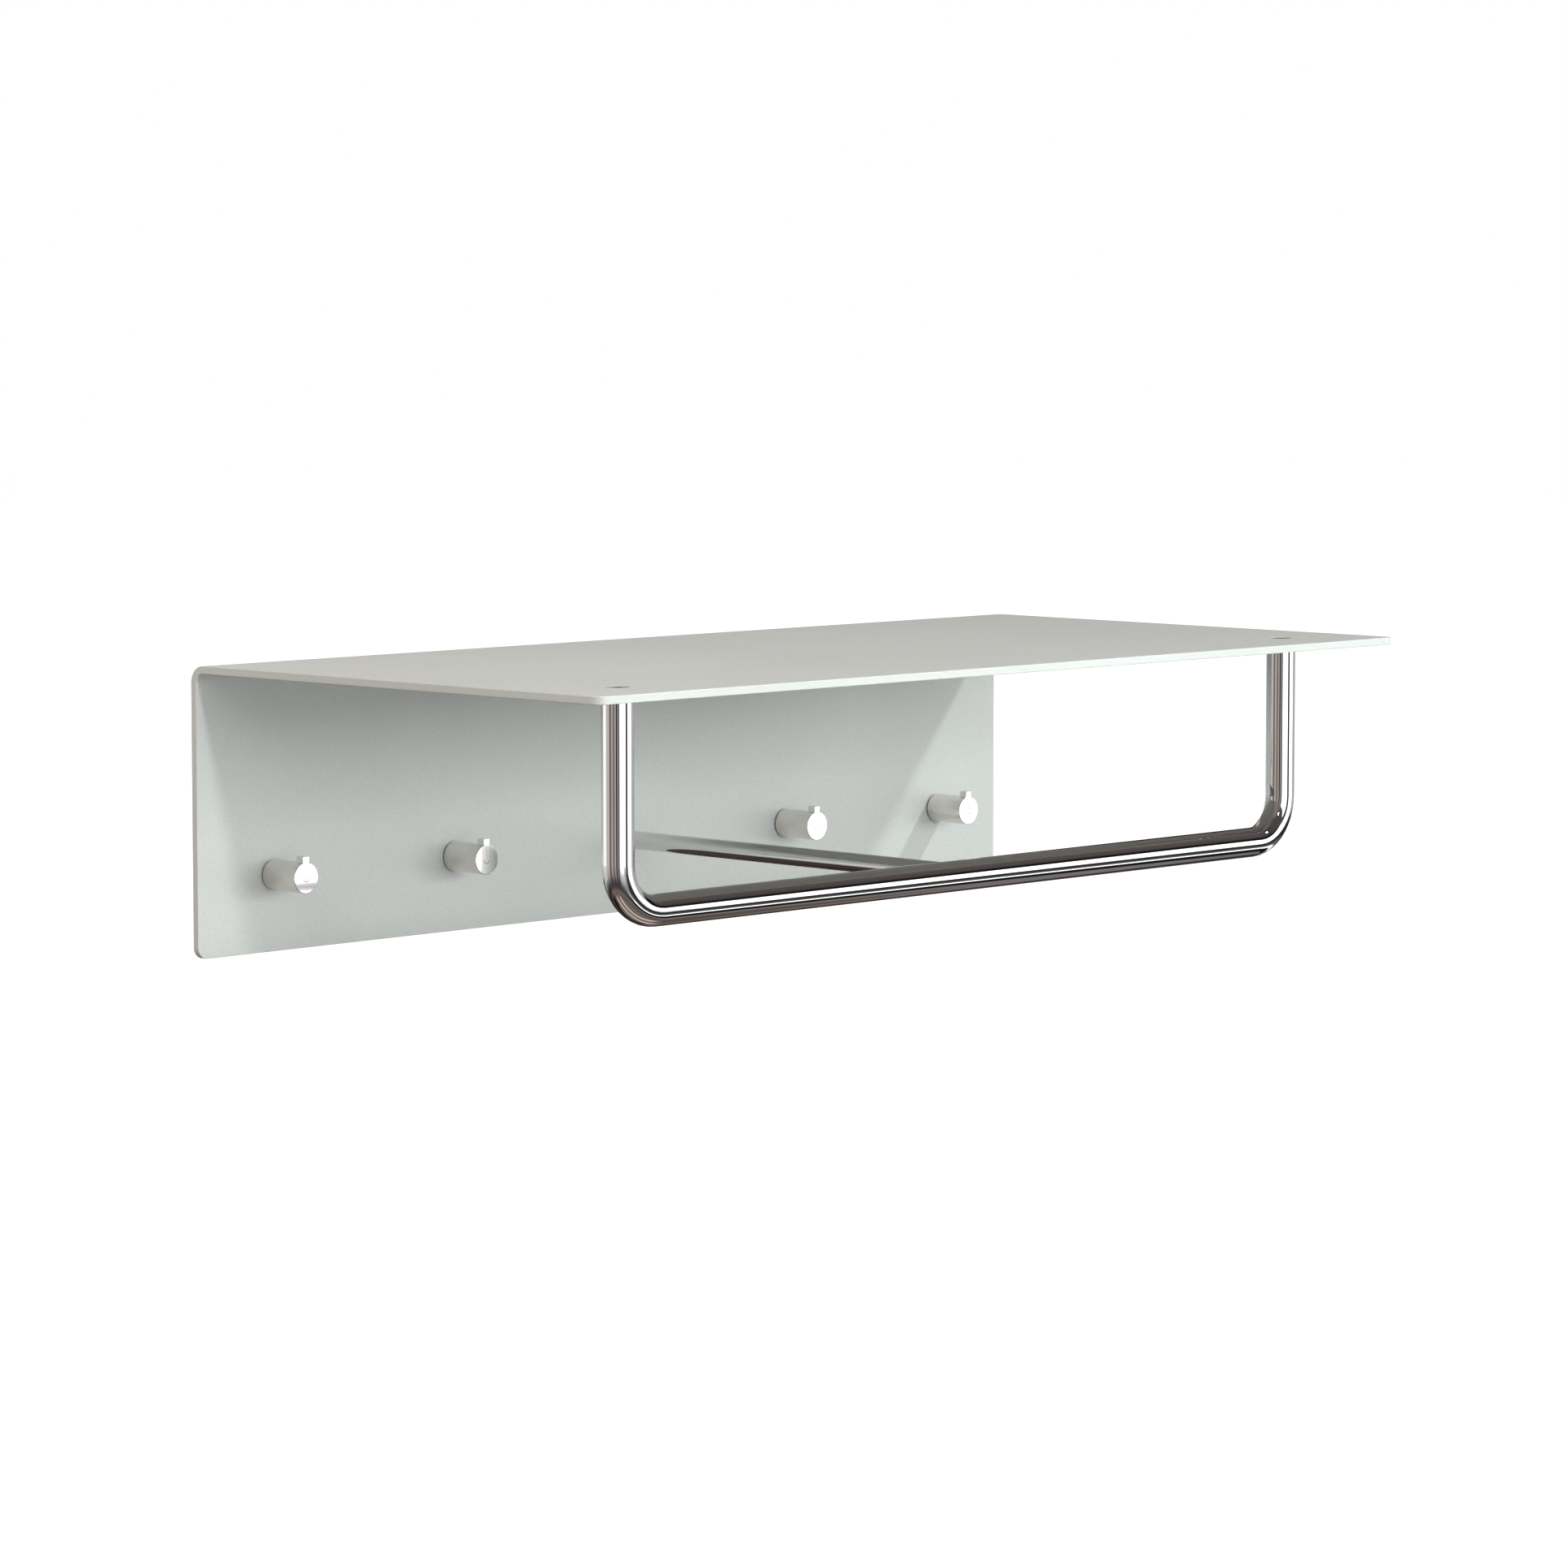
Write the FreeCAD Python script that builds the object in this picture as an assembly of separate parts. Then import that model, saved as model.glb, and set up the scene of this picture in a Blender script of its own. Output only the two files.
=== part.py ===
import FreeCAD, Part
import math
import os
from FreeCAD import Vector

# Wall towel rack: a folded sheet shelf, a U-shaped towel rail, a centre support rod and four knobs.
# Millimetres. +X along the wall, -Y out of the wall, +Z up.
# The origin is the centre of the wall plate's back face, which lies on the wall.

# Folded sheet
width = 600.0
depth = 300.0
height = 150.0
sheet_t = 4.0
bend_inner_r = 5.0
corner_r = 6.0
edge_round = 0.4

# Towel rail
rail_od = 16.0
rail_wall = 1.5
rail_bend_r = 24.0
rail_inset = 50.0
rail_setback = 40.0
bar_rise = 40.0

# Threaded plugs in the rail's upright ends
plug_length = 18.0
plug_edge = 0.5

# Countersunk screws that hold the rail under the shelf
shelf_screw_d = 6.0
shelf_screw_head_d = 11.6
shelf_screw_length = 18.0
shelf_screw_hole_d = 6.6
shelf_countersink_d = 12.0
shelf_socket_af = 4.0
shelf_socket_depth = 2.4

# Support rod between the wall plate and the rail's bar
rod_d = 10.0
rod_tap_depth = 18.0

# Countersunk screw that holds the rod, driven from the wall side
rod_screw_d = 5.0
rod_screw_head_d = 9.2
rod_screw_length = 16.0
rod_screw_hole_d = 5.5
rod_countersink_d = 9.6
rod_socket_af = 3.0
rod_socket_depth = 1.9

# Knobs
knob_d = 16.0
knob_length = 25.0
knob_rise = 40.0
knob_pitch = 125.0
knob_wall = 2.5
knob_bore_depth = 17.0
knob_edge = 0.3

# Bush that carries a knob and takes a wall screw
bush_tail_d = 9.0
bush_hole_d = 5.5
bush_spigot_length = 13.0
collar_t = 1.0
collar_inset = 1.5

# Grub screw that locks a knob on its bush, from below
grub_d = 4.0
grub_bite = 0.8
grub_back = 9.0
grub_recess = 0.3
grub_socket_af = 2.0
grub_socket_depth = 1.4

# Key let into a knob's front face, which stops a loop from sliding off
key_width = 4.0
key_depth = 5.0
key_rise = 3.0
key_edge = 0.2
slot_edge = 0.2

# Clearances
thread_gap = 0.05
slide_gap = 0.05
key_gap = 0.02

X = Vector(1, 0, 0)
Y = Vector(0, 1, 0)
Z = Vector(0, 0, 1)

bend_outer_r = bend_inner_r + sheet_t
top_z = height / 2
bottom_z = -height / 2
under_z = top_z - sheet_t
rail_x = width / 2 - rail_inset
rail_y = rail_setback - depth
bar_z = bottom_z + bar_rise
rail_bore_d = rail_od - 2 * rail_wall
knob_z = bottom_z + knob_rise
knob_back_y = -sheet_t - collar_t
knob_front_y = knob_back_y - knob_length
knob_bore_d = knob_d - 2 * knob_wall
spigot_d = knob_bore_d - 2 * slide_gap
grub_y = knob_back_y - grub_back
knobs = {
    "left_outer": -rail_x,
    "left_inner": knob_pitch - rail_x,
    "right_inner": rail_x - knob_pitch,
    "right_outer": rail_x,
}


def rod(diameter, length, base, direction):
    return Part.makeCylinder(diameter / 2, length, base, direction)


def hexagon(across_flats, length, base, direction):
    """A hexagonal prism for a socket whose axis lies square to X."""
    corner = across_flats / math.sqrt(3)
    points = []
    for i in range(7):
        turn = FreeCAD.Rotation(direction, 60 * i)
        points.append(base + turn.multVec(X) * corner)
    return Part.Face(Part.makePolygon(points)).extrude(direction * length)


def cone_down(large_d, small_d, base, direction):
    """A right-angled cone from its large end, as a countersink or a screw head."""
    return Part.makeCone(large_d / 2, small_d / 2, (large_d - small_d) / 2, base, direction)


def countersunk_screw(seat_d, head_d, shank_d, length, socket_af, socket_depth, mouth, inward):
    """A screw whose head lies in a countersink of seat_d whose mouth is at mouth."""
    top = mouth + inward * ((seat_d - head_d) / 2)
    head = cone_down(head_d, shank_d, top, inward)
    shank = rod(shank_d, length, top, inward)
    screw = head.fuse(shank).removeSplitter()
    return screw.cut(hexagon(socket_af, socket_depth, top, inward))


def sheet_blank():
    """The folded sheet before its corners are rounded."""
    bend = Vector(0, -bend_outer_r, top_z - bend_outer_r)
    slant = math.sqrt(0.5)
    outer_mid = bend + Vector(0, slant, slant) * bend_outer_r
    inner_mid = bend + Vector(0, slant, slant) * bend_inner_r
    a = Vector(0, 0, bottom_z)
    b = Vector(0, 0, top_z - bend_outer_r)
    c = Vector(0, -bend_outer_r, top_z)
    d = Vector(0, -depth, top_z)
    e = Vector(0, -depth, under_z)
    f = Vector(0, -bend_outer_r, under_z)
    g = Vector(0, -sheet_t, top_z - bend_outer_r)
    h = Vector(0, -sheet_t, bottom_z)
    outline = [
        Part.makeLine(a, b),
        Part.Arc(b, outer_mid, c).toShape(),
        Part.makeLine(c, d),
        Part.makeLine(d, e),
        Part.makeLine(e, f),
        Part.Arc(f, inner_mid, g).toShape(),
        Part.makeLine(g, h),
        Part.makeLine(h, a),
    ]
    face = Part.Face(Part.Wire(outline))
    face.translate(X * (-width / 2))
    return face.extrude(X * width)


def is_free_corner(edge):
    """True for the four short edges across the sheet at its free corners."""
    p = edge.CenterOfMass
    at_end = abs(abs(p.x) - width / 2) < edge_round
    at_front = p.y < edge_round - depth and abs(edge.Length - sheet_t) < edge_round
    at_foot = p.z < bottom_z + edge_round and abs(edge.Length - sheet_t) < edge_round
    return at_end and (at_front or at_foot)


def is_rim(edge):
    """True for the edges round the sheet's outline on either skin."""
    p = edge.CenterOfMass
    near = corner_r
    outline = abs(p.x) > width / 2 - near or p.y < near - depth or p.z < bottom_z + near
    across = abs(edge.Length - sheet_t) < edge_round and edge.Curve.TypeId == "Part::GeomLine"
    return outline and not across


def shelf_panel():
    sheet = sheet_blank()
    sheet = sheet.makeFillet(corner_r, [e for e in sheet.Edges if is_free_corner(e)])
    sheet = sheet.makeFillet(edge_round, [e for e in sheet.Edges if is_rim(e)])
    cuts = []
    for x in (-rail_x, rail_x):
        mouth = Vector(x, rail_y, top_z)
        cuts.append(rod(shelf_screw_hole_d, sheet_t, mouth, -Z))
        cuts.append(cone_down(shelf_countersink_d, shelf_screw_hole_d, mouth, -Z))
    for x in knobs.values():
        cuts.append(rod(bush_tail_d, sheet_t, Vector(x, 0, knob_z), -Y))
    mouth = Vector(0, 0, bar_z)
    cuts.append(rod(rod_screw_hole_d, sheet_t, mouth, -Y))
    cuts.append(cone_down(rod_countersink_d, rod_screw_hole_d, mouth, -Y))
    return sheet.cut(cuts)


def rail_path():
    """The rail's centre line: down the left upright, along the bar and up the right one."""
    r = rail_bend_r
    slant = r * (1 - math.sqrt(0.5))
    left_top = Vector(-rail_x, rail_y, under_z)
    left_foot = Vector(-rail_x, rail_y, bar_z + r)
    left_mid = Vector(slant - rail_x, rail_y, bar_z + slant)
    bar_left = Vector(r - rail_x, rail_y, bar_z)
    bar_right = Vector(rail_x - r, rail_y, bar_z)
    right_mid = Vector(rail_x - slant, rail_y, bar_z + slant)
    right_foot = Vector(rail_x, rail_y, bar_z + r)
    right_top = Vector(rail_x, rail_y, under_z)
    return Part.Wire([
        Part.makeLine(left_top, left_foot),
        Part.Arc(left_foot, left_mid, bar_left).toShape(),
        Part.makeLine(bar_left, bar_right),
        Part.Arc(bar_right, right_mid, right_foot).toShape(),
        Part.makeLine(right_foot, right_top),
    ])


def rail_solid(diameter):
    circle = Part.makeCircle(diameter / 2, Vector(-rail_x, rail_y, under_z), Z)
    return rail_path().makePipe(Part.Face(Part.Wire(circle)))


def rail_tube():
    return rail_solid(rail_od).cut(rail_solid(rail_bore_d))


def rail_plug(x):
    """A threaded plug pressed into an upright, flush with its end."""
    top = Vector(x, rail_y, under_z)
    plug = rod(rail_bore_d, plug_length, top, -Z)
    foot = [e for e in plug.Edges if e.CenterOfMass.z < under_z - plug_length + plug_edge]
    plug = plug.makeChamfer(plug_edge, foot)
    return plug.cut(rod(shelf_screw_d + 2 * thread_gap, plug_length, top, -Z))


def shelf_screw(x):
    return countersunk_screw(
        shelf_countersink_d, shelf_screw_head_d, shelf_screw_d, shelf_screw_length,
        shelf_socket_af, shelf_socket_depth, Vector(x, rail_y, top_z), -Z)


def support_rod():
    """The rod's front end is coped to the rail's bar, and its wall end is tapped."""
    start = Vector(0, -sheet_t, bar_z)
    blank = rod(rod_d, -sheet_t - rail_y, start, -Y)
    bar = rod(rail_od, 2 * rod_d, Vector(-rod_d, rail_y, bar_z), X)
    tap = rod(rod_screw_d + 2 * thread_gap, rod_tap_depth, start, -Y)
    return blank.cut([bar, tap])


def support_screw():
    return countersunk_screw(
        rod_countersink_d, rod_screw_head_d, rod_screw_d, rod_screw_length,
        rod_socket_af, rod_socket_depth, Vector(0, 0, bar_z), -Y)


def grub_bottom_z():
    return knob_z - knob_d / 2 + grub_recess


def grub_top_z():
    return knob_z - spigot_d / 2 + grub_bite


def knob_bush(x):
    """A turned bush pressed into the wall plate, with a collar that keeps the knob off the plate."""
    tail = rod(bush_tail_d, sheet_t, Vector(x, 0, knob_z), -Y)
    collar = rod(knob_d - 2 * collar_inset, collar_t, Vector(x, -sheet_t, knob_z), -Y)
    spigot = rod(spigot_d, bush_spigot_length, Vector(x, knob_back_y, knob_z), -Y)
    bush = tail.fuse([collar, spigot]).removeSplitter()
    through = sheet_t + collar_t + bush_spigot_length
    bore = rod(bush_hole_d, through, Vector(x, 0, knob_z), -Y)
    seat = rod(grub_d + 2 * thread_gap, grub_bite, Vector(x, grub_y, grub_top_z()), -Z)
    return bush.cut([bore, seat])


def key_outline(grow, x, y):
    """The key's outline seen from the front: square above, half round below the knob's axis."""
    half = key_width / 2 + grow
    top = knob_z + knob_d / 2 + key_rise + grow
    foot_left = Vector(x - half, y, knob_z)
    foot = Vector(x, y, knob_z - half)
    foot_right = Vector(x + half, y, knob_z)
    top_right = Vector(x + half, y, top)
    top_left = Vector(x - half, y, top)
    return Part.Wire([
        Part.Arc(foot_left, foot, foot_right).toShape(),
        Part.makeLine(foot_right, top_right),
        Part.makeLine(top_right, top_left),
        Part.makeLine(top_left, foot_left),
    ])


def key_block(grow, x):
    return Part.Face(key_outline(grow, x, knob_front_y)).extrude(Y * key_depth)


def knob_body(x):
    """A round bar end with a blind bore for its bush and a slot for its key."""
    body = rod(knob_d, knob_length, Vector(x, knob_back_y, knob_z), -Y)
    rims = [e for e in body.Edges if e.Curve.TypeId == "Part::GeomCircle"]
    body = body.makeFillet(knob_edge, rims)
    bore = rod(knob_bore_d, knob_bore_depth, Vector(x, knob_back_y, knob_z), -Y)
    tap = rod(grub_d + 2 * thread_gap, knob_d / 2, Vector(x, grub_y, knob_z), -Z)
    mouth = Part.makeLoft([
        key_outline(key_gap + slot_edge, x, knob_front_y),
        key_outline(key_gap, x, knob_front_y + slot_edge),
    ], True)
    return body.cut([bore, tap, key_block(key_gap, x), mouth])


def grub_screw(x):
    foot = Vector(x, grub_y, grub_bottom_z())
    screw = rod(grub_d, grub_top_z() - grub_bottom_z(), foot, Z)
    return screw.cut(hexagon(grub_socket_af, grub_socket_depth, foot, Z))


def knob_key(x):
    """The key, with its top and its whole front outline rounded."""
    key = key_block(0, x)
    top = knob_z + knob_d / 2 + key_rise
    seen = [
        e for e in key.Edges
        if e.CenterOfMass.z > top - key_edge or e.BoundBox.YMax < knob_front_y + key_edge
    ]
    return key.makeFillet(key_edge, seen)


nodes = {
    "shelf_panel": shelf_panel(),
    "rail_tube": rail_tube(),
    "support_rod": support_rod(),
    "support_screw": support_screw(),
}
for side, x in (("left", -rail_x), ("right", rail_x)):
    nodes["rail_plug_" + side] = rail_plug(x)
    nodes["shelf_screw_" + side] = shelf_screw(x)
for place, x in knobs.items():
    nodes["knob_bush_" + place] = knob_bush(x)
    nodes["knob_body_" + place] = knob_body(x)
    nodes["grub_screw_" + place] = grub_screw(x)
    nodes["knob_key_" + place] = knob_key(x)

os.makedirs("parts", exist_ok=True)
for name, shape in nodes.items():
    shape.exportStep("parts/" + name + ".step")
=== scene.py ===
import math

import bpy
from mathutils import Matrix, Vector


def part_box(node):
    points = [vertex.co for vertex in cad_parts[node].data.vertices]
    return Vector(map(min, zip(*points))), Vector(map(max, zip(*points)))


# The looks of a wall towel rack, round its CAD model: materials, floor, studio, lamps and camera.
# Metres. +X along the wall, -Y out of the wall, +Z up, from the wall plate's back face.

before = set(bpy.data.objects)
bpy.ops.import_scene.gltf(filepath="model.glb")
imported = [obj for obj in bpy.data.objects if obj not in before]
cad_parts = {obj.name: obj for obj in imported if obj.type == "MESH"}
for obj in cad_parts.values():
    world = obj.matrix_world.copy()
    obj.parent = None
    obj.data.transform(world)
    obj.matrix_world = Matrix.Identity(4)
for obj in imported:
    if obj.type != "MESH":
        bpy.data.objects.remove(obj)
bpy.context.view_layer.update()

scene = bpy.context.scene
scene.view_settings.view_transform = "Standard"

WHITE = (1.0, 1.0, 1.0)


def grey(value):
    return (value, value, value)


# ---------------------------------------------------------------- node helpers

class Nodes:
    """A node tree with short calls for the nodes that the materials and the studio share."""

    def __init__(self, tree):
        self.tree = tree

    def add(self, kind, **values):
        node = self.tree.nodes.new(kind)
        for name, value in values.items():
            setattr(node, name, value)
        return node

    def put(self, socket, value):
        """Link a socket, or set a plain value; a colour may leave out its alpha."""
        if isinstance(value, bpy.types.NodeSocket):
            self.tree.links.new(value, socket)
        elif socket.type == "RGBA":
            socket.default_value = (*value[:3], 1.0)
        else:
            socket.default_value = value

    def fill(self, node, values):
        for socket, value in zip(node.inputs, values):
            self.put(socket, value)

    def math(self, operation, *values):
        node = self.add("ShaderNodeMath", operation=operation)
        self.fill(node, values)
        return node.outputs[0]

    def times(self, a, b):
        return self.math("MULTIPLY", a, b)

    def rest(self, value):
        """What is left of 1."""
        return self.math("SUBTRACT", 1.0, value)

    def vector(self, operation, *values):
        node = self.add("ShaderNodeVectorMath", operation=operation)
        self.fill(node, values)
        return node.outputs[0]

    def split(self, vector):
        node = self.add("ShaderNodeSeparateXYZ")
        self.put(node.inputs[0], vector)
        return node.outputs

    def join(self, *values):
        node = self.add("ShaderNodeCombineXYZ")
        self.fill(node, values)
        return node.outputs[0]

    def smooth(self, value, low, high):
        """0 below low, 1 above high, smooth between."""
        node = self.add("ShaderNodeMapRange", interpolation_type="SMOOTHSTEP")
        self.put(node.inputs["Value"], value)
        self.put(node.inputs["From Min"], low)
        self.put(node.inputs["From Max"], high)
        return node.outputs["Result"]

    def beside(self, value, centre, near, far):
        """0 within near of the centre, 1 beyond far, smooth between."""
        distance = self.math("ABSOLUTE", self.math("SUBTRACT", value, centre))
        return self.smooth(distance, near, far)

    def mix(self, factor, a, b):
        node = self.add("ShaderNodeMix", data_type="RGBA")
        self.put(node.inputs[0], factor)
        self.put(node.inputs[6], a)
        self.put(node.inputs[7], b)
        return node.outputs[2]

    def ramp(self, value, stops):
        node = self.add("ShaderNodeValToRGB")
        elements = node.color_ramp.elements
        while len(elements) > 1:
            elements.remove(elements[-1])
        for i, (position, colour) in enumerate(stops):
            element = elements[0] if i == 0 else elements.new(position)
            element.position = position
            element.color = (*colour, 1.0)
        self.put(node.inputs[0], value)
        return node.outputs[0]

    def vary(self, noise, low, high, margin=0.3):
        """From low to high as a noise goes from its margin to 1 less its margin."""
        return self.ramp(noise, [(margin, low), (1.0 - margin, high)])

    def noise(self, vector, scale, detail=2.0, rough=0.5):
        node = self.add("ShaderNodeTexNoise")
        node.inputs["Scale"].default_value = scale
        node.inputs["Detail"].default_value = detail
        node.inputs["Roughness"].default_value = rough
        self.put(node.inputs["Vector"], vector)
        return node.outputs["Fac"]

    def blend(self, a, b, share):
        """Two noises in one, with the given share of the first."""
        return self.math("ADD", self.times(a, share), self.times(b, 1.0 - share))

    def bump(self, height, strength, distance, normal=None):
        node = self.add("ShaderNodeBump")
        self.put(node.inputs["Strength"], strength)
        self.put(node.inputs["Distance"], distance)
        self.put(node.inputs["Height"], height)
        if normal is not None:
            self.put(node.inputs["Normal"], normal)
        return node.outputs["Normal"]


def material(name, metallic=0.0):
    """A new material with its node calls, its shader and the rack's own coordinates."""
    made = bpy.data.materials.new(name)
    made.use_nodes = True
    n = Nodes(made.node_tree)
    shader = made.node_tree.nodes["Principled BSDF"].inputs
    n.put(shader["Metallic"], metallic)
    place = n.add("ShaderNodeTexCoord").outputs["Object"]
    return made, n, shader, place


# ---------------------------------------------------------------- materials

def powder_coat():
    """Light grey-green powder coat: a fine grain over a faint orange peel."""
    made, n, shader, place = material("powder_coat")
    grain = n.noise(place, scale=1700.0, detail=1.0, rough=0.6)
    peel = n.noise(place, scale=420.0, detail=1.0)
    cloud = n.noise(place, scale=9.0)
    tone = n.blend(grain, cloud, share=0.75)
    dark, light = (0.545, 0.586, 0.565), (0.650, 0.697, 0.673)
    n.put(shader["Base Color"], n.vary(tone, dark, light, margin=0.34))
    n.put(shader["Roughness"], n.vary(peel, grey(0.44), grey(0.54)))
    n.put(shader["Specular IOR Level"], 0.32)
    normal = n.bump(peel, strength=0.08, distance=0.0004)
    n.put(shader["Normal"], n.bump(grain, strength=0.04, distance=0.0002, normal=normal))
    return made


def chrome():
    """Polished chrome plate with a trace of haze and a very shallow wave."""
    made, n, shader, place = material("polished_chrome", metallic=1.0)
    colour = (0.69, 0.69, 0.695)
    cleaner = tuple(c * 1.04 for c in colour)
    haze = n.noise(place, scale=60.0, detail=3.0)
    wave = n.noise(place, scale=25.0, detail=1.0)
    n.put(shader["Base Color"], n.vary(haze, colour, cleaner))
    n.put(shader["Roughness"], n.vary(haze, grey(0.015), grey(0.035)))
    n.put(shader["Normal"], n.bump(wave, strength=0.02, distance=0.0003))
    return made


def turned_steel(name, colour, rough):
    """Machined steel with fine tool marks and a little uneven tone."""
    made, n, shader, place = material(name, metallic=1.0)
    duller = tuple(c * 0.85 for c in colour)
    marks = n.noise(place, scale=900.0, detail=3.0, rough=0.7)
    spots = n.noise(place, scale=120.0)
    n.put(shader["Base Color"], n.vary(spots, duller, colour))
    n.put(shader["Roughness"], n.vary(marks, grey(rough), grey(rough + 0.12)))
    n.put(shader["Normal"], n.bump(marks, strength=0.15, distance=0.0001))
    return made


# The knobs stand at whole steps of one pitch from the rack's middle.
outer_knob, inner_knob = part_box("knob_body_left_outer"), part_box("knob_body_left_inner")
knob_pitch = inner_knob[0][0] - outer_knob[0][0]
knob_front = outer_knob[0][1]
knob_rise = (outer_knob[0][2] + outer_knob[1][2]) / 2.0


def domed_normal(n, x, z, dome):
    """The surface normal, leaning away from the knob's axis by dome radians per metre."""
    step = n.math("FRACT", n.math("MULTIPLY_ADD", x, 1.0 / knob_pitch, 0.5))
    lean_x = n.times(n.math("SUBTRACT", step, 0.5), knob_pitch * dome)
    lean_z = n.times(n.math("SUBTRACT", z, knob_rise), dome)
    surface = n.add("ShaderNodeNewGeometry").outputs["Normal"]
    return n.vector("NORMALIZE", n.vector("ADD", surface, n.join(lean_x, 0.0, lean_z)))


def brushed_steel(name, dark, light):
    """Satin steel: brush lines along the knob, and a smoother front face with a slight dome."""
    made, n, shader, place = material(name, metallic=1.0)
    stretch = n.add("ShaderNodeMapping")
    n.put(stretch.inputs["Scale"], (1.0, 0.12, 1.0))
    n.put(stretch.inputs["Vector"], place)
    lines = n.noise(stretch.outputs[0], scale=2200.0, rough=0.6)
    cloud = n.noise(place, scale=110.0)
    tone = n.blend(lines, cloud, share=0.6)
    n.put(shader["Base Color"], n.vary(tone, dark, light, margin=0.35))
    x, y, z = n.split(place)
    side = n.smooth(y, knob_front + 0.0002, knob_front + 0.0005)
    satin = n.vary(lines, grey(0.17), grey(0.25))
    n.put(shader["Roughness"], n.mix(side, grey(0.03), satin))
    normal = domed_normal(n, x, z, dome=0.6)
    strength = n.times(side, 0.10)
    n.put(shader["Normal"], n.bump(lines, strength, distance=0.0001, normal=normal))
    return made


paint = powder_coat()
plate_chrome = chrome()
knob_steel = brushed_steel("knob_steel", (0.68, 0.65, 0.62), (0.80, 0.77, 0.74))
key_steel = brushed_steel("key_steel", (0.70, 0.68, 0.66), (0.80, 0.78, 0.76))
screw_steel = turned_steel("screw_steel", (0.50, 0.49, 0.48), rough=0.28)
# Painted shade: the bush collar sits recessed between the knob and the plate, and its steel is
# made nearly black to stand in for the shadow in that gap.
bush_steel = turned_steel("bush_steel", (0.16, 0.155, 0.15), rough=0.40)
plug_steel = turned_steel("plug_steel", (0.45, 0.45, 0.45), rough=0.35)

by_prefix = {
    "shelf_panel": paint,
    "rail_tube": plate_chrome,
    "support_rod": plate_chrome,
    "support_screw": screw_steel,
    "rail_plug": plug_steel,
    "shelf_screw": screw_steel,
    "knob_bush": bush_steel,
    "knob_body": knob_steel,
    "knob_key": key_steel,
    "grub_screw": screw_steel,
}
for name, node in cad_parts.items():
    for prefix, surface in by_prefix.items():
        if name.startswith(prefix):
            node.data.materials.clear()
            node.data.materials.append(surface)


# ---------------------------------------------------------------- floor

def floor():
    """A wide pale floor well below the rack, which the camera sees and nothing reflects."""
    half = 30.0
    drop = 1.4
    corners = [(x, y, -drop) for x, y in (
        (-half, -half), (half, -half), (half, half), (-half, half),
    )]
    mesh = bpy.data.meshes.new("floor")
    mesh.from_pydata(corners, [], [(0, 1, 2, 3)])
    made, n, shader, place = material("pale_floor")
    tone = n.vary(n.noise(place, scale=3.0), grey(0.93), grey(0.95))
    n.put(shader["Base Color"], tone)
    n.put(shader["Emission Color"], tone)
    n.put(shader["Emission Strength"], 1.0)
    n.put(shader["Roughness"], 0.8)
    mesh.materials.append(made)
    obj = bpy.data.objects.new("floor", mesh)
    scene.collection.objects.link(obj)
    obj.visible_glossy = False
    obj.visible_diffuse = False
    obj.visible_shadow = False


floor()


# ---------------------------------------------------------------- studio
#
# The chrome and the knobs' faces mirror this studio. Its directions are in degrees: azimuth
# from the front (-Y), turning towards +X, and rise above the horizon, or drop below it.

TURN = 360.0
RIGHT_ANGLE = 90.0


def round_stops(stops):
    """Stops at azimuths, as positions on a ramp that goes once round."""
    return [(azimuth / TURN + 0.5, colour) for azimuth, colour in stops]


def drop_stops(stops):
    """Stops at drops, as positions on a ramp from the horizon to straight down."""
    return [(drop / RIGHT_ANGLE, colour) for drop, colour in stops]


class Directions:
    """Where in the studio a ray ends, as node sockets in degrees, and as 0 to 1 for the ramps."""

    def __init__(self, n):
        x, y, z = n.split(n.add("ShaderNodeTexCoord").outputs["Generated"])
        turned = n.math("ARCTAN2", x, n.times(y, -1.0))
        self.azimuth = n.times(turned, math.degrees(1.0))
        self.turn = n.math("MULTIPLY_ADD", self.azimuth, 1.0 / TURN, 0.5)
        self.rise = n.times(n.math("ARCSINE", z), math.degrees(1.0))
        self.drop = n.times(self.rise, -1.0)
        self.depth = n.times(self.drop, 1.0 / RIGHT_ANGLE)
        self.y = y


def eye_level(n, at):
    """Strips round the horizon. An upright slate bar and a level violet one face the knobs."""
    tan = (0.50, 0.45, 0.41)
    brown = (0.25, 0.205, 0.18)
    strips = n.ramp(at.turn, round_stops([
        (-180, grey(0.68)), (-172, grey(0.80)), (-160, grey(0.90)), (-141, grey(0.92)),
        (-132, (0.93, 0.86, 0.80)), (-122, (0.56, 0.51, 0.47)), (-113, (0.86, 0.78, 0.73)),
        (-108, (0.60, 0.54, 0.51)), (-104, brown), (-90, brown), (-86, (0.70, 0.62, 0.58)),
        (-81, (0.59, 0.51, 0.48)), (-78, brown), (-68, brown), (-65, tan), (-57, tan),
        (-55, grey(0.02)), (-49, grey(0.02)), (-46, grey(0.60)), (-43, grey(0.15)),
        (-35, grey(0.20)), (-28, WHITE), (11, WHITE), (15, grey(0.05)), (26, grey(0.05)),
        (30, WHITE), (60, WHITE), (70, grey(0.60)), (95, grey(0.50)), (130, grey(0.34)),
        (148, grey(0.95)), (180, grey(0.80)),
    ]))
    slate = (0.23, 0.30, 0.31)
    off_upright = n.beside(at.azimuth, 43.4, 0.0, 1.65)
    off_upright = n.math("MAXIMUM", off_upright, n.smooth(at.rise, -5.8, -5.4))
    strips = n.mix(off_upright, slate, strips)
    violet = (0.50, 0.50, 0.60)
    off_level = n.beside(at.rise, -6.55, 0.05, 0.20)
    off_level = n.math("MAXIMUM", off_level, n.smooth(at.azimuth, 41.0, 42.0))
    return n.mix(off_level, violet, strips)


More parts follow.
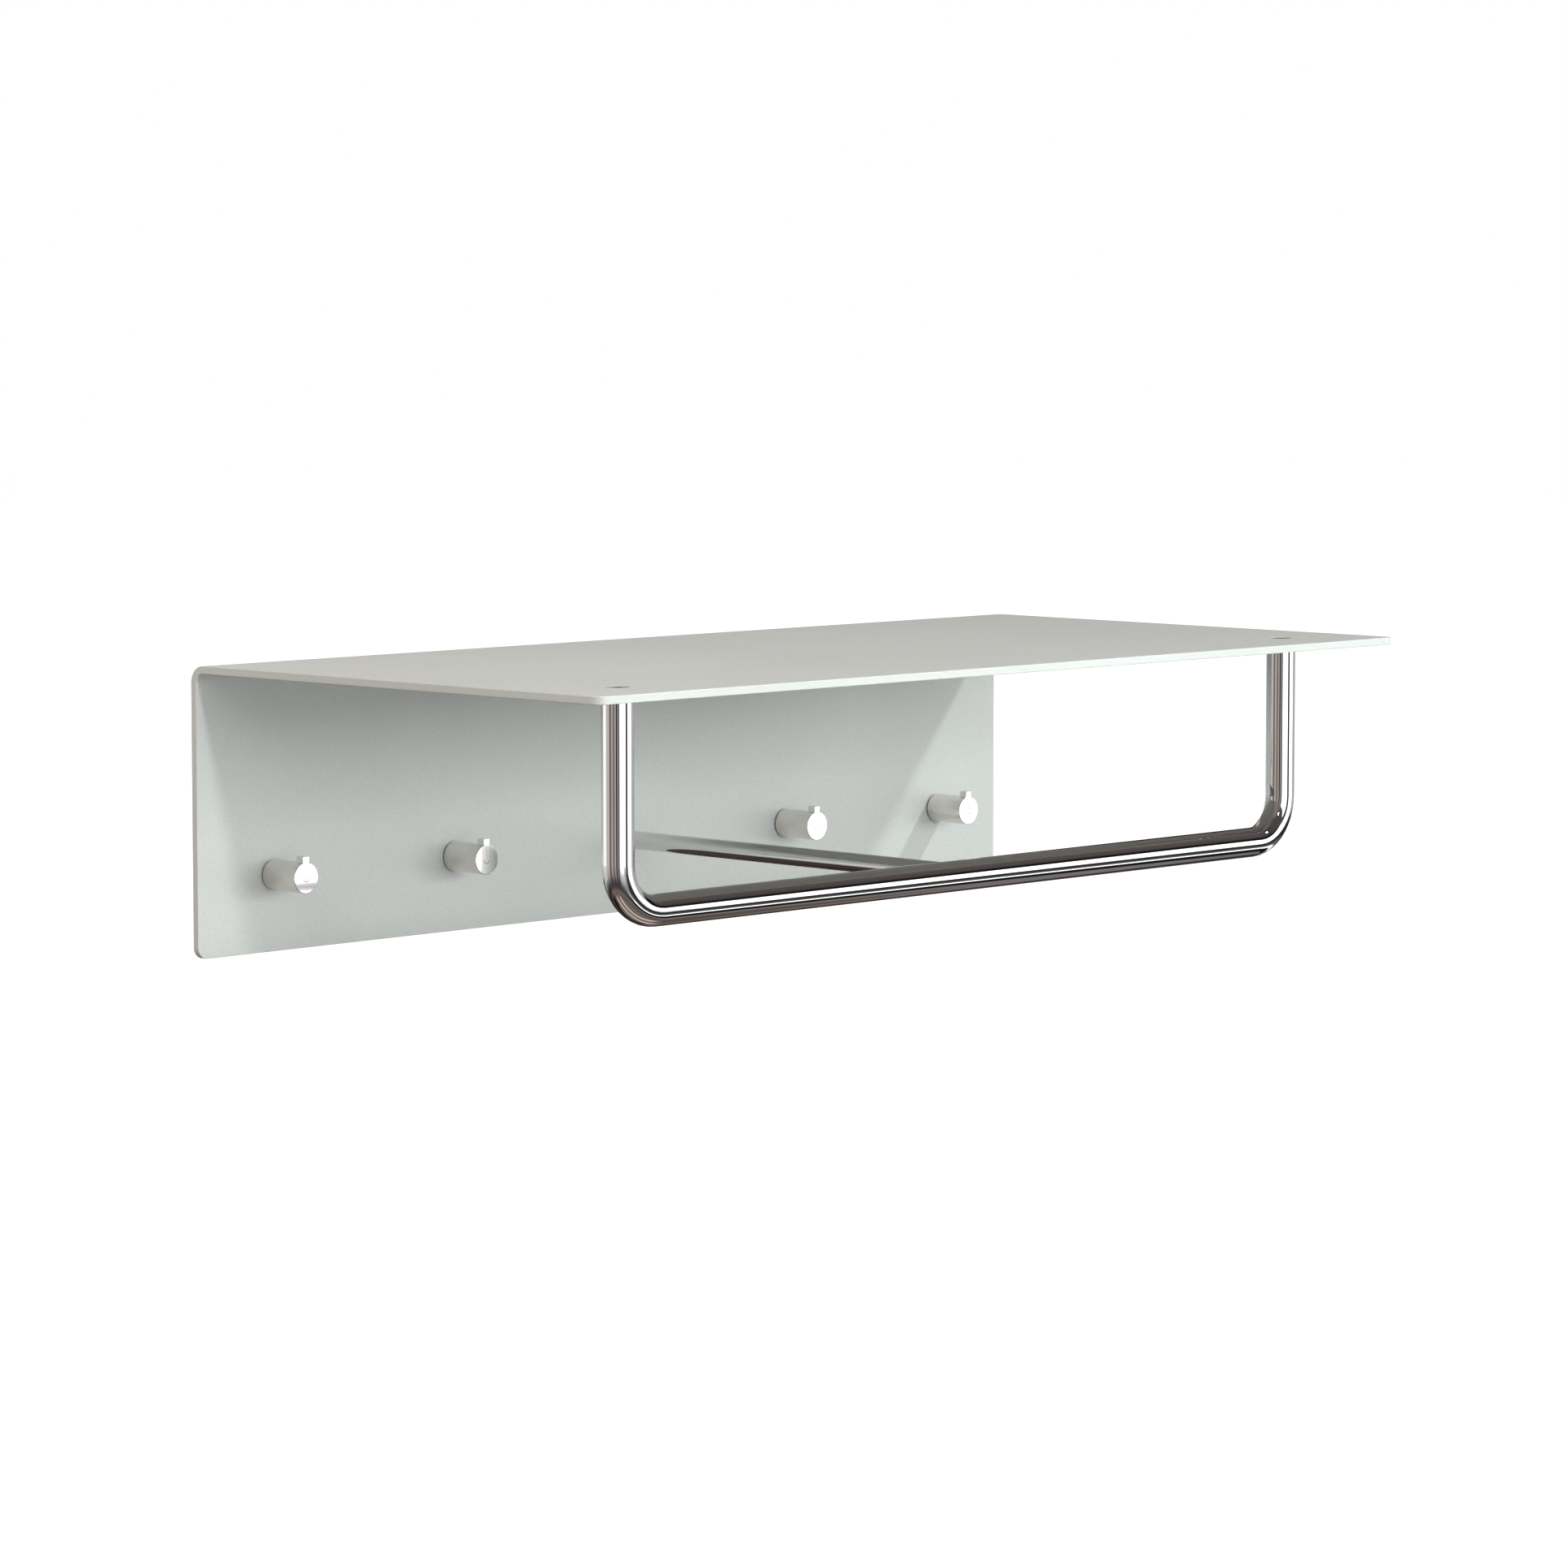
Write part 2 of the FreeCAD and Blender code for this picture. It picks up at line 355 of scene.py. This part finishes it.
def upper_part(n, at):
    """The dark walls above the strips, and the roof."""
    pink = (0.80, 0.69, 0.67)
    dark = (0.09, 0.08, 0.08)
    mauve = (0.16, 0.14, 0.14)
    walls = n.ramp(at.turn, round_stops([
        (-180, pink), (-140, pink), (-125, (0.36, 0.30, 0.26)), (-45, (0.26, 0.21, 0.19)),
        (-20, dark), (20, dark), (40, (0.067, 0.06, 0.054)), (70, (0.12, 0.105, 0.10)),
        (85, mauve), (128, mauve), (145, (0.68, 0.59, 0.57)), (180, pink),
    ]))
    roof = n.mix(n.smooth(at.rise, 55.0, 65.0), walls, (0.13, 0.100, 0.098))
    hood = n.times(n.smooth(at.azimuth, 28.8, 39.6), n.rest(n.smooth(at.rise, 18.0, 26.0)))
    return n.mix(hood, roof, grey(0.008))


def above_horizon(n, at):
    """The strips, whose front panel stands taller than the rest, under the upper part."""
    extra_height = 5.0
    front = n.ramp(at.turn, round_stops([
        (-34, grey(0.0)), (-30, WHITE), (12, WHITE), (16, grey(0.0)),
    ]))
    reach = n.math("SUBTRACT", at.rise, n.times(front, extra_height))
    return n.mix(n.smooth(reach, 9.5, 13.0), eye_level(n, at), upper_part(n, at))


def low_lamps(n, at):
    """Two warm strips on the floor, side by side, which run along the wall."""
    floor_colour = (0.22, 0.18, 0.16)
    peach = (0.98, 0.79, 0.71)
    stops = []
    for start, full, fade, end in ((-0.28, -0.23, -0.18, -0.12), (0.06, 0.11, 0.16, 0.22)):
        stops += [(start, floor_colour), (full, peach), (fade, peach), (end, floor_colour)]
    backward = n.math("MULTIPLY_ADD", at.y, 0.5, 0.5)
    return n.ramp(backward, [(y * 0.5 + 0.5, colour) for y, colour in stops])


def below_horizon(n, at, right):
    """The ground: striped towards the right, earthy elsewhere, dark behind the rack."""
    clay = (0.125, 0.10, 0.09)
    striped = n.ramp(at.depth, drop_stops([
        (0.0, grey(0.13)), (13.5, grey(0.03)), (18.0, grey(0.03)), (21.15, grey(0.15)),
        (24.3, grey(0.15)), (26.1, grey(0.95)), (29.25, grey(0.95)), (31.05, grey(0.01)),
        (37.8, grey(0.01)), (40.05, (0.25, 0.23, 0.22)), (42.75, (0.22, 0.20, 0.19)),
        (44.1, clay),
    ]))
    earthy = n.ramp(at.depth, drop_stops([
        (0.0, (0.17, 0.14, 0.13)), (19.8, (0.08, 0.06, 0.055)), (27.0, (0.04, 0.035, 0.035)),
        (37.8, (0.09, 0.075, 0.065)), (45.0, (0.22, 0.165, 0.15)), (50.4, clay),
    ]))
    side = n.times(right, n.rest(n.smooth(at.azimuth, 104.4, 118.8)))
    ground = n.mix(side, earthy, striped)
    ground = n.mix(n.smooth(at.drop, 46.0, 60.0), ground, low_lamps(n, at))

    dim = grey(0.012)
    dusk = n.ramp(at.depth, drop_stops([
        (0.0, dim), (17.1, dim), (20.25, (0.60, 0.48, 0.43)), (23.4, dim),
        (36.0, dim), (41.4, (0.12, 0.085, 0.07)), (46.8, dim),
    ]))
    behind = n.beside(at.azimuth, 0.0, 122.4, 140.4)
    shade = n.times(behind, n.rest(n.smooth(at.drop, 55.0, 65.0)))
    return n.mix(shade, ground, dusk)


def studio():
    """A round room that lights and mirrors; the camera itself sees plain white."""
    world = bpy.data.worlds.new("studio")
    scene.world = world
    world.use_nodes = True
    world.node_tree.nodes.clear()
    n = Nodes(world.node_tree)
    at = Directions(n)

    right = n.smooth(at.azimuth, -10.8, 21.6)
    crisp = n.times(right, n.smooth(at.drop, 7.5, 11.5))
    vague = n.times(n.rest(right), n.smooth(at.drop, 8.0, 36.0))
    low = n.math("ADD", crisp, vague)
    room = n.mix(low, above_horizon(n, at), below_horizon(n, at, right))

    bright = n.add("ShaderNodeRGBToBW")
    n.put(bright.inputs[0], room)
    extra = 1.6
    lit = n.times(n.smooth(bright.outputs[0], 0.85, 1.0), extra)
    shell = n.add("ShaderNodeBackground")
    n.put(shell.inputs["Color"], room)
    n.put(shell.inputs["Strength"], n.math("ADD", 1.0, lit))

    plain = n.add("ShaderNodeBackground")
    n.put(plain.inputs["Color"], WHITE)
    pick = n.add("ShaderNodeMixShader")
    n.put(pick.inputs[0], n.add("ShaderNodeLightPath").outputs["Is Camera Ray"])
    n.put(pick.inputs[1], shell.outputs[0])
    n.put(pick.inputs[2], plain.outputs[0])
    n.put(n.add("ShaderNodeOutputWorld").inputs["Surface"], pick.outputs[0])


studio()


# ---------------------------------------------------------------- lamps

def softbox(name, target, direction, distance, size, power, colour=WHITE, mirrored=True):
    """A soft area light, (width, height) across, aimed at a point of the rack."""
    data = bpy.data.lights.new(name, "AREA")
    data.shape = "RECTANGLE"
    data.size, data.size_y = size
    data.energy = power
    data.color = colour
    obj = bpy.data.objects.new(name, data)
    away = Vector(direction).normalized()
    obj.location = Vector(target) + away * distance
    obj.rotation_euler = away.to_track_quat("Z", "Y").to_euler()
    obj.visible_glossy = mirrored
    scene.collection.objects.link(obj)


softbox(
    "key_left", target=(-0.3, 0.0, 0.0), direction=(-0.13, -1.0, 0.6),
    distance=2.4, size=(0.16, 0.16), power=15.0,
)
softbox(
    "key_right", target=(0.3, 0.0, 0.0), direction=(0.92, -1.0, 1.2),
    distance=6.0, size=(0.38, 0.38), power=140.0,
)
softbox(
    "fill_front", target=(0.35, 0.0, 0.0), direction=(0.0, -1.0, 0.19),
    distance=1.7, size=(1.8, 0.30), power=12.5, mirrored=False,
)
softbox(
    "side_left", target=(-0.1, -0.15, 0.0), direction=(-1.0, -0.1, 0.7),
    distance=1.7, size=(0.6, 0.6), power=5.7, colour=(1.0, 0.91, 0.84), mirrored=False,
)
softbox(
    "overhead", target=(-0.3, -0.15, 0.075), direction=(-0.35, 0.0, 1.0),
    distance=1.0, size=(0.5, 0.5), power=1.7, colour=(1.0, 0.86, 0.84), mirrored=False,
)


# ---------------------------------------------------------------- camera

def camera():
    """The photograph's viewpoint: front left, a little above, through a long lens."""
    place = (-2.09413, -2.18192, 0.27429)
    azimuth, drop = math.radians(45.537), math.radians(5.282)
    look = Vector((
        math.sin(azimuth) * math.cos(drop),
        math.cos(azimuth) * math.cos(drop),
        -math.sin(drop),
    ))
    data = bpy.data.cameras.new("camera")
    data.sensor_width = 36.0
    data.lens = 127.62
    obj = bpy.data.objects.new("camera", data)
    obj.location = place
    obj.rotation_euler = look.to_track_quat("-Z", "Y").to_euler()
    scene.collection.objects.link(obj)
    scene.camera = obj


camera()
